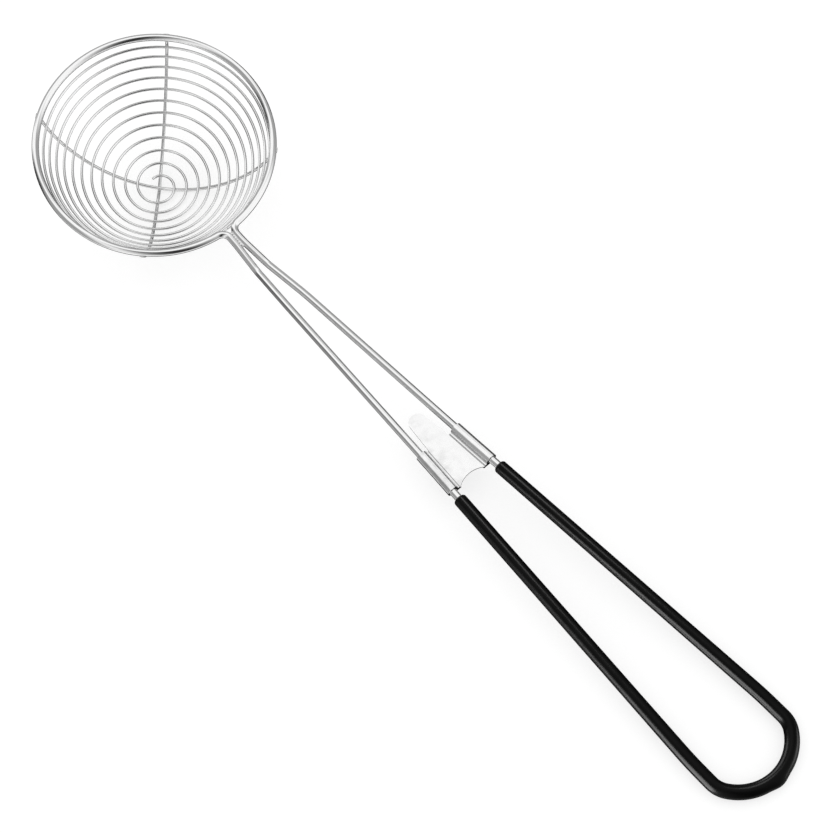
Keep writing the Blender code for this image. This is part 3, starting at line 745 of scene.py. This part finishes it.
def colour_setting(name, description, default):
    return bpy.props.FloatVectorProperty(
        name=name, description=description, default=default, subtype="COLOR", size=3)


class SpoonSizes(bpy.types.PropertyGroup):
    """Sizes of the spoon's stock and bowl"""

    ring_outer: length_setting("Ring", "Outer diameter of the bowl's ring", 100 * MM)
    frame_wire: length_setting("Thick wire", "Diameter of the ring, leg and handle wire", 3.0 * MM)
    cross_wire: length_setting("Bowed wire", "Diameter of the two bowed wires", 1.3 * MM)
    spiral_wire: length_setting("Spiral wire", "Diameter of the spiral's wire", 1.1 * MM)
    bowl_depth: length_setting("Bowl depth", "From the ring's middle to the bowed wires", 42.3 * MM)
    sheet: length_setting("Sheet", "Thickness of the plate", 0.5 * MM)
    grip: length_setting("Grip", "Diameter of the dipped coat", 5.2 * MM)


class SpoonFinish(bpy.types.PropertyGroup):
    """Colours and roughness of the spoon's finishes"""

    steel: colour_setting("Steel", "Colour of the bright steel", (0.83, 0.83, 0.83))
    wire_roughness: share_setting("Wire roughness", "Roughness of the drawn wire", 0.09)
    plate_roughness: share_setting("Plate roughness", "Roughness of the pressed plate", 0.14)
    coat: colour_setting("Coat", "Colour of the dipped coat", (0.0006, 0.0006, 0.0006))
    coat_roughness: share_setting("Coat roughness", "Roughness of the dipped coat", 0.26)
    floor: colour_setting("Floor", "Colour of the floor", (0.42, 0.42, 0.42))


def settings(context):
    """The scene's sizes and finish."""
    return context.scene.strainer_sizes, context.scene.strainer_finish


# Operators

class STRAINER_OT_frame_wire(bpy.types.Operator):
    """Makes the ring, neck and legs from one thick wire, with the weld that closes the neck"""

    bl_idname = "strainer.frame_wire"
    bl_label = "Ring and legs"

    def execute(self, context):
        sizes, finish = settings(context)
        path = placed(frame_path(sizes), RING_FRAME)
        halves = round_halves(path, sizes.frame_wire / 2)
        tube = round_tube(path, halves, RING_UP, *FRAME_TUBE)
        new_piece("ring_and_legs", tube, drawn_steel("frame_wire_steel", finish), "frame_wire")
        metal = weld_metal("neck_weld_metal", finish, NECK_WELD_ROUGHNESS)
        new_piece("neck_weld", weld_bead(), metal, "frame_wire")
        return {"FINISHED"}


def weld_bead():
    """Arrays of the neck's weld: a flat rod along the gap.

    Its halves are their sizes * (1 + ripple * cos(2 pi x / pitch)).
    """
    along = np.linspace(0, 1, WELD_POINTS)
    path = np.stack([
        WELD_START + (WELD_END - WELD_START) * along,
        np.full(len(along), NECK_SHIFT),
        WELD_RISE - WELD_FALL * along,
    ], 1)
    ripple = 1 + WELD_RIPPLE * np.cos(TAU * (path[:, 0] - WELD_START) / WELD_PITCH)
    halves = ripple[:, None] * np.array((WELD_HALF_WIDTH, WELD_HALF_HEIGHT))
    return round_tube(placed(path, RING_FRAME), halves, RING_UP, *WELD_TUBE)


class STRAINER_OT_ribs(bpy.types.Operator):
    """Makes the two bowed wires with their pressed ends"""

    bl_idname = "strainer.ribs"
    bl_label = "Bowed wires"

    def execute(self, context):
        sizes, finish = settings(context)
        jobs = (("cross_wire_under", UNDER_AZIMUTHS), ("cross_wire_over", OVER_AZIMUTHS))
        for node, azimuths in jobs:
            path, halves, across = rib_path(azimuths, sizes)
            tube = round_tube(placed(path, RING_FRAME), halves, RING_TURN @ across, *BOWED_TUBE)
            new_piece(node + "_bowed", tube, drawn_steel(node + "_steel", finish), node)
        return {"FINISHED"}


class STRAINER_OT_spiral(bpy.types.Operator):
    """Makes the spiral and the small welds where it crosses the bowed wires"""

    bl_idname = "strainer.spiral"
    bl_label = "Spiral"

    def execute(self, context):
        sizes, finish = settings(context)
        path = spiral_path(sizes)
        halves = round_halves(path, sizes.spiral_wire / 2)
        tube = round_tube(placed(path, RING_FRAME), halves, RING_UP, *SPIRAL_TUBE)
        new_piece("spiral", tube, drawn_steel("spiral_wire_steel", finish), "spiral_wire")
        welds = spot_welds(path, UNDER_AZIMUTHS, sizes) + spot_welds(path, OVER_AZIMUTHS, sizes)
        metal = weld_metal("spot_weld_metal", finish, SPOT_WELD_ROUGHNESS)
        new_piece("spot_welds", merged(welds), metal, "spiral_wire")
        return {"FINISHED"}


def resampled(line, count):
    """The line's points at even shares of their number."""
    share = np.linspace(0, len(line) - 1, count)
    return np.stack([np.interp(share, np.arange(len(line)), line[:, axis]) for axis in range(3)], 1)


def spot_welds(spiral, azimuths, sizes):
    """Flat eggs where the spiral crosses a bowed wire, between the nearest points of both."""
    rib = resampled(rib_path(azimuths, sizes)[0], RIB_SEARCH)
    line = resampled(spiral, SPIRAL_SEARCH)
    nearest, distance = np.zeros(len(line), int), np.zeros(len(line))
    for start in range(0, len(line), SEARCH_BLOCK):
        block = slice(start, start + SEARCH_BLOCK)
        gaps = np.linalg.norm(line[block, None] - rib[None], axis=2)
        nearest[block], distance[block] = gaps.argmin(1), gaps.min(1)
    touching = (sizes.cross_wire + sizes.spiral_wire) / 2 * SPOT_REACH
    before, here, after = distance[:-2], distance[1:-1], distance[2:]
    lowest = (here < before) & (here <= after) & (here < touching)
    share = sizes.spiral_wire / (sizes.spiral_wire + sizes.cross_wire)
    welds = []
    for index in np.flatnonzero(lowest) + 1:
        to_rib = rib[nearest[index]] - line[index]
        centre = placed(line[index] + to_rib * share, RING_FRAME)
        apart, run = unit(to_rib), unit(line[index + 1] - line[index - 1])
        axes = np.array([run, np.cross(apart, run), apart]) @ RING_TURN.T
        welds.append(egg(centre, axes, np.array(SPOT_HALVES)))
    return welds


class STRAINER_OT_plate(bpy.types.Operator):
    """Makes the pressed plate: web, tongue and the two sides rolled round the wires"""

    bl_idname = "strainer.plate"
    bl_label = "Plate"

    def execute(self, context):
        sizes, finish = settings(context)
        web_z = PLATE_TOP - sizes.sheet / 2
        section = rolled_section(web_z, SLEEVE_OUTER_R - sizes.sheet / 2)
        along = np.linspace(SLEEVE_REAR, SLEEVE_FRONT, SLEEVE_ROWS)
        sleeve = np.empty((len(along), len(section), 3))
        sleeve[..., 0] = along[:, None]
        sleeve[..., 1] = wire_y(along)[:, None] + section[:, 0]
        sleeve[..., 2] = section[:, 1]
        web = plate_web(along, wire_y(along) - CORNER_TO_WIRE, web_z)
        grids = [web, sleeve, sleeve * (1, -1, 1)]
        arrays = merged([open_grid(placed(grid, HANDLE_FRAME)) for grid in grids])
        piece = new_piece("clip", arrays, pressed_steel("clip_plate_steel", finish), "clip_plate")
        join_sheet(piece.data)
        thicken(piece, sizes.sheet)
        return {"FINISHED"}


def rolled_section(web_z, roll_r):
    """Half section of the plate: step up from the web, ledge, wall, roll over the wire, and lap."""
    step_width = CORNER_TO_WIRE - LEDGE_TO_WIRE
    slope = 2 * math.atan2(LEDGE_RISE, step_width)
    step_r = step_width / (2 * math.sin(slope))
    ledge_z = web_z + LEDGE_RISE
    wall_y = -INNER_ROLL - roll_r
    quarter = math.pi / 2
    return chain(
        arc((-CORNER_TO_WIRE, web_z + step_r), step_r, -quarter, slope - quarter, FOLD_STEP),
        arc((-LEDGE_TO_WIRE, ledge_z - step_r), step_r, quarter + slope, quarter, FOLD_STEP),
        straight((-LEDGE_TO_WIRE, ledge_z), (wall_y - FOLD_R, ledge_z), LEDGE_STEP),
        arc((wall_y - FOLD_R, ledge_z + FOLD_R), FOLD_R, -quarter, 0, FOLD_STEP),
        straight((wall_y, ledge_z + FOLD_R), (wall_y, 0), ROLL_STEP),
        arc((-INNER_ROLL, 0), roll_r, math.pi, quarter, ROLL_STEP),
        straight((-INNER_ROLL, roll_r), (0, roll_r), LEDGE_STEP),
        arc((0, 0), roll_r, quarter, -quarter, ROLL_STEP),
        straight((0, -roll_r), (-LAP_TO_WIRE, -roll_r), LAP_STEP),
    )


def join_sheet(mesh):
    """Joins the web and the sleeves where they meet and turns their faces one way."""
    shell = bmesh.new()
    shell.from_mesh(mesh)
    bmesh.ops.remove_doubles(shell, verts=shell.verts, dist=MERGE_WITHIN)
    bmesh.ops.dissolve_degenerate(shell, edges=shell.edges, dist=SLIVER)
    bmesh.ops.recalc_face_normals(shell, faces=shell.faces)
    shell.to_mesh(mesh)
    shell.free()
    mesh.shade_smooth()


def thicken(piece, sheet):
    """Gives the sheet its thickness, half to each side, and rounds its edges."""
    wall = piece.modifiers.new("wall", "SOLIDIFY")
    wall.thickness = sheet
    wall.offset = 0
    wall.use_even_offset = True
    edge = piece.modifiers.new("edge", "BEVEL")
    edge.width = EDGE_BEVEL
    edge.segments = EDGE_SEGMENTS
    edge.limit_method = "ANGLE"
    edge.angle_limit = EDGE_ANGLE
    edge.harden_normals = True


def plate_web(along, side_y, web_z):
    """Flat web between its middle line C and outline B: C + |v| (B - C), with v from -1 to 1.

    The outline runs along the sleeve and round the tongue. The first rows are bent to follow the
    hollow rear edge.
    """
    front = np.array((along[-1], side_y[-1]))
    tip = np.array((SLEEVE_FRONT - TONGUE_LENGTH + TONGUE_TIP_R, 0.0))
    reach = front - tip
    touch = math.atan2(reach[1], reach[0]) + math.acos(TONGUE_TIP_R / np.linalg.norm(reach))
    nose = arc(tip, TONGUE_TIP_R, touch, math.pi, NOSE_STEP)
    side = np.stack([along, side_y], 1)
    outline = chain(side, straight(front, nose[0], TONGUE_STEP), nose)
    corner_y, rear_x = side_y[0], along[0] - REAR_HOLLOW
    centre_x = outline[:, 0].copy()
    share = np.linspace(0, 1, len(along))
    centre_x[:len(along)] = rear_x + (along[-1] - rear_x) * share
    across = np.linspace(-1, 1, WEB_COLUMNS)
    bend_r = (corner_y ** 2 + REAR_HOLLOW ** 2) / (2 * REAR_HOLLOW)
    hollow = rear_x + bend_r - np.sqrt(bend_r ** 2 - (across * corner_y) ** 2)
    bent = hollow - (rear_x + np.abs(across) * REAR_HOLLOW)
    fade = np.zeros(len(outline))
    fade[:len(along)] = (1 - share) ** 2
    web = np.empty((len(outline), len(across), 3))
    to_side = np.outer(outline[:, 0] - centre_x, np.abs(across))
    web[..., 0] = centre_x[:, None] + to_side + np.outer(fade, bent)
    web[..., 1] = outline[:, 1, None] * across
    web[..., 2] = web_z
    return web


def open_grid(grid):
    """Vertices, quads and UVs of an open sheet of rows and columns. The UVs are X and Y."""
    rows, columns = grid.shape[:2]
    row, column = np.meshgrid(np.arange(rows - 1), np.arange(columns - 1), indexing="ij")
    first = row * columns + column
    quads = np.stack([first, first + columns, first + columns + 1, first + 1], -1).reshape(-1, 4)
    flat = grid.reshape(-1, 3)
    return flat, quads, flat[quads][..., :2]


class STRAINER_OT_handle_wire(bpy.types.Operator):
    """Makes the handle's wire, whose bare ends show between the plate and the grip"""

    bl_idname = "strainer.handle_wire"
    bl_label = "Handle wire"

    def execute(self, context):
        sizes, finish = settings(context)
        path = placed(loop_path(BUTT + BUTT_GAP), HANDLE_FRAME)
        halves = round_halves(path, sizes.frame_wire / 2)
        tube = round_tube(path, halves, HANDLE_UP, *HANDLE_TUBE)
        new_piece("handle_loop_wire", tube, drawn_steel("handle_wire_steel", finish), "handle_wire")
        return {"FINISHED"}


class STRAINER_OT_grip(bpy.types.Operator):
    """Makes the dipped coat with its round shoulders and the drip at the loop's end"""

    bl_idname = "strainer.grip"
    bl_label = "Grip"

    def execute(self, context):
        sizes, finish = settings(context)
        path = loop_path(GRIP_START)
        halves = round_halves(path, sizes.grip / 2)
        path, halves = with_round_ends(path, halves, SHOULDER_LENGTH)
        grid = carried(path, halves, np.array((0.0, 0.0, 1.0)), GRIP_SIDES)
        at_crown = path[:, 0] > CROWN_X
        nearness = np.clip(1 - np.abs(path[:, 1]) / DRIP_HALF_LENGTH, 0, None) * at_crown
        bulge = DRIP_HEIGHT * np.sin(nearness * math.pi / 2) ** 2
        outwards = np.clip((grid[..., 0] - path[:, :1]) / (sizes.grip / 2), 0, None)
        grid[..., 0] += bulge[:, None] * outwards ** DRIP_FADE
        tube = facing_out(tube_arrays(placed(grid, HANDLE_FRAME)))
        new_piece("grip", tube, dipped_plastic("grip_coat_plastic", finish), "grip_coat")
        return {"FINISHED"}


class STRAINER_OT_stage(bpy.types.Operator):
    """Makes the floor, the studio light and the photograph's camera"""

    bl_idname = "strainer.stage"
    bl_label = "Stage"

    def execute(self, context):
        corners = np.array([(-1, -1, 0), (1, -1, 0), (1, 1, 0), (-1, 1, 0)], float) * FLOOR_HALF
        floor_mesh = new_mesh("floor", corners, np.array([(0, 1, 2, 3)]))
        floor_mesh.materials.append(pale_floor("floor_paint", context.scene.strainer_finish.floor))
        floor = bpy.data.objects.new("floor", floor_mesh)
        context.scene.collection.objects.link(floor)
        floor.visible_glossy = False
        studio_light(context.scene)
        grip_lamps(context.scene)
        add_camera(context.scene)
        context.scene.view_settings.view_transform = "Standard"
        return {"FINISHED"}


# Floor: half its side in metres, roughness, and the light of its own that makes it white
FLOOR_HALF = 3.0
FLOOR_ROUGHNESS = 0.9
FLOOR_LIFT = 0.66
WHITE = (1, 1, 1, 1)
# Panels that the metal sees round it: azimuth and half width, lowest and highest elevation, and
# soft edge, all in degrees, and how bright the panel is
STUDIO_WHITE = 1.15
STUDIO_PANELS = (
    (-21, 26, -30, 84, 50, 0.02),
    (-103, 31, -22, 77, 26, 0.39),
    (-133, 11, -4, 46, 14, 0.10),
    (-175, 10, -6, 20, 15, 0.14),
    (-152, 24, -36, 4, 14, 0.0),
    (107, 20, -32, 22, 20, 0.08),
    (78, 18, -50, 66, 24, 0.42),
    (160, 38, -33, 52, 12, 0.45),
)
# The dark table beyond the spoon: direction of its middle, reach, soft edge and brightness
TABLE_MIDDLE = (-0.4687, 0.2299, -0.8529)
TABLE_REACH = math.radians(59)
TABLE_SOFT = math.radians(8)
TABLE_LEVEL = 0.03
PLAIN_LIGHT = 0.95


def studio_light(scene):
    """World that lights at a plain level, is white to the camera, and shows the metal a studio."""
    world = bpy.data.worlds.new("studio")
    scene.world = world
    world.use_nodes = True
    tree = world.node_tree
    tree.nodes.clear()

    def add(kind, inputs=(), **options):
        return add_node(tree, kind, inputs, **options).outputs[0]

    def calculate(operation, *values):
        return add("ShaderNodeMath", dict(enumerate(values)), operation=operation)

    def faded(value, none, full):
        ends = {"Value": value, "From Min": none, "From Max": full}
        return add("ShaderNodeMapRange", ends, interpolation_type="SMOOTHSTEP")

    direction = add("ShaderNodeTexCoord")
    split = add_node(tree, "ShaderNodeSeparateXYZ", {0: direction}).outputs
    azimuth = calculate("ARCTAN2", split["Y"], split["X"])
    elevation = calculate("ARCSINE", split["Z"])
    pair = {0: direction, 1: TABLE_MIDDLE}
    beyond = add_node(tree, "ShaderNodeVectorMath", pair, operation="DOT_PRODUCT").outputs["Value"]
    edges = math.cos(TABLE_REACH + TABLE_SOFT / 2), math.cos(TABLE_REACH - TABLE_SOFT / 2)
    table = calculate("MULTIPLY", faded(beyond, *edges), TABLE_LEVEL - STUDIO_WHITE)
    level = calculate("ADD", table, STUDIO_WHITE)
    for centre, half, low, high, soft, brightness in STUDIO_PANELS:
        centre, half, low, high, soft = np.radians((centre, half, low, high, soft)).tolist()
        turn = calculate("WRAP", calculate("SUBTRACT", azimuth, centre), math.pi, -math.pi)
        aside = calculate("ABSOLUTE", turn)
        across = faded(aside, half + soft / 2, half - soft / 2)
        above = faded(elevation, low - soft / 2, low + soft / 2)
        below = faded(elevation, high + soft / 2, high - soft / 2)
        share = calculate("MULTIPLY", across, calculate("MULTIPLY", above, below))
        change = calculate("SUBTRACT", brightness, level)
        level = calculate("ADD", level, calculate("MULTIPLY", share, change))
    path = add_node(tree, "ShaderNodeLightPath").outputs
    plain = add("ShaderNodeBackground", {"Color": WHITE, "Strength": PLAIN_LIGHT})
    white = add("ShaderNodeBackground", {"Color": WHITE, "Strength": 1.0})
    studio = add("ShaderNodeBackground", {"Color": WHITE, "Strength": level})
    clear = calculate("MAXIMUM", path["Is Camera Ray"], path["Is Transmission Ray"])
    seen = add("ShaderNodeMixShader", {0: clear, 1: plain, 2: white})
    total = add("ShaderNodeMixShader", {0: path["Is Glossy Ray"], 1: seen, 2: studio})
    add_node(tree, "ShaderNodeOutputWorld", {"Surface": total})


# Lamps that draw the light streaks on the black grip: azimuth and elevation in degrees; how far
# off they stand, their aim along the grip, width and height in metres; and power in watts
GRIP_LAMPS = (
    (122, 60, 0.45, 0.0, 0.15, 0.15, 0.87),
    (-90.5, 6, 1.2, 0.07, 0.66, 1.4, 66),
    (50, 2, 1.2, 0.14, 0.9, 0.7, 11),
    (178, 14, 1.2, 0.14, 1.3, 0.6, 19),
)


def grip_lamps(scene):
    """Soft round lamps that light the grip alone, each turned to a place along its middle."""
    lit = bpy.data.collections.new("lit_grip")
    lit.objects.link(bpy.data.objects["grip"])
    for azimuth, elevation, distance, along, width, height, power in GRIP_LAMPS:
        away = Vector((1, 0, 0))
        away.rotate(Euler((0, math.radians(-elevation), math.radians(azimuth))))
        lamp = bpy.data.lights.new("grip_lamp", "AREA")
        lamp.shape = "ELLIPSE"
        lamp.size, lamp.size_y = width, height
        lamp.energy = power
        place = HANDLE_FRAME @ Vector((GRIP_START + along, 0, 0)) + away * distance
        lamp_object = bpy.data.objects.new("grip_lamp", lamp)
        turn = away.to_track_quat("Z", "Y").to_matrix().to_4x4()
        lamp_object.matrix_world = Matrix.Translation(place) @ turn
        lamp_object.light_linking.receiver_collection = lit
        lamp_object.light_linking.blocker_collection = lit
        scene.collection.objects.link(lamp_object)


def add_camera(scene):
    """Camera whose axes in the ring's frame are right, up = -down, and back = -forward."""
    turn = np.array((CAMERA_RIGHT, CAMERA_DOWN, CAMERA_FORWARD))
    matrix = np.eye(4)
    matrix[:3, :3] = turn.T * (1, -1, -1)
    matrix[:3, 3] = -turn.T @ CAMERA_OFFSET * MM
    camera = bpy.data.cameras.new("camera")
    camera.sensor_width = SENSOR
    camera.lens = CAMERA_LENS
    camera.clip_start = NEAR_LIMIT
    camera_object = bpy.data.objects.new("camera", camera)
    scene.collection.objects.link(camera_object)
    camera_object.matrix_world = RING_FRAME @ Matrix(matrix)
    scene.camera = camera_object


class STRAINER_PT_panel(bpy.types.Panel):
    """Lists the spoon's settings and pieces"""

    bl_idname = "STRAINER_PT_panel"
    bl_label = "Strainer Spoon"
    bl_space_type = "VIEW_3D"
    bl_region_type = "UI"
    bl_category = "Strainer Spoon"

    def draw(self, context):
        for group in settings(context):
            for name in group.__annotations__:
                self.layout.prop(group, name)
        for operator in OPERATORS:
            self.layout.operator(operator.bl_idname)


GROUPS = (SpoonSizes, SpoonFinish)
OPERATORS = (
    STRAINER_OT_frame_wire,
    STRAINER_OT_ribs,
    STRAINER_OT_spiral,
    STRAINER_OT_plate,
    STRAINER_OT_handle_wire,
    STRAINER_OT_grip,
    STRAINER_OT_stage,
)


def register():
    for group in (*GROUPS, *OPERATORS, STRAINER_PT_panel):
        bpy.utils.register_class(group)
    bpy.types.Scene.strainer_sizes = bpy.props.PointerProperty(type=SpoonSizes)
    bpy.types.Scene.strainer_finish = bpy.props.PointerProperty(type=SpoonFinish)


def unregister():
    del bpy.types.Scene.strainer_finish
    del bpy.types.Scene.strainer_sizes
    for group in reversed((*GROUPS, *OPERATORS, STRAINER_PT_panel)):
        bpy.utils.unregister_class(group)


def main():
    """Registers the classes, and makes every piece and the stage."""
    register()
    for operator in OPERATORS:
        group, name = operator.bl_idname.split(".")
        getattr(getattr(bpy.ops, group), name)()


if __name__ == "__main__":
    main()
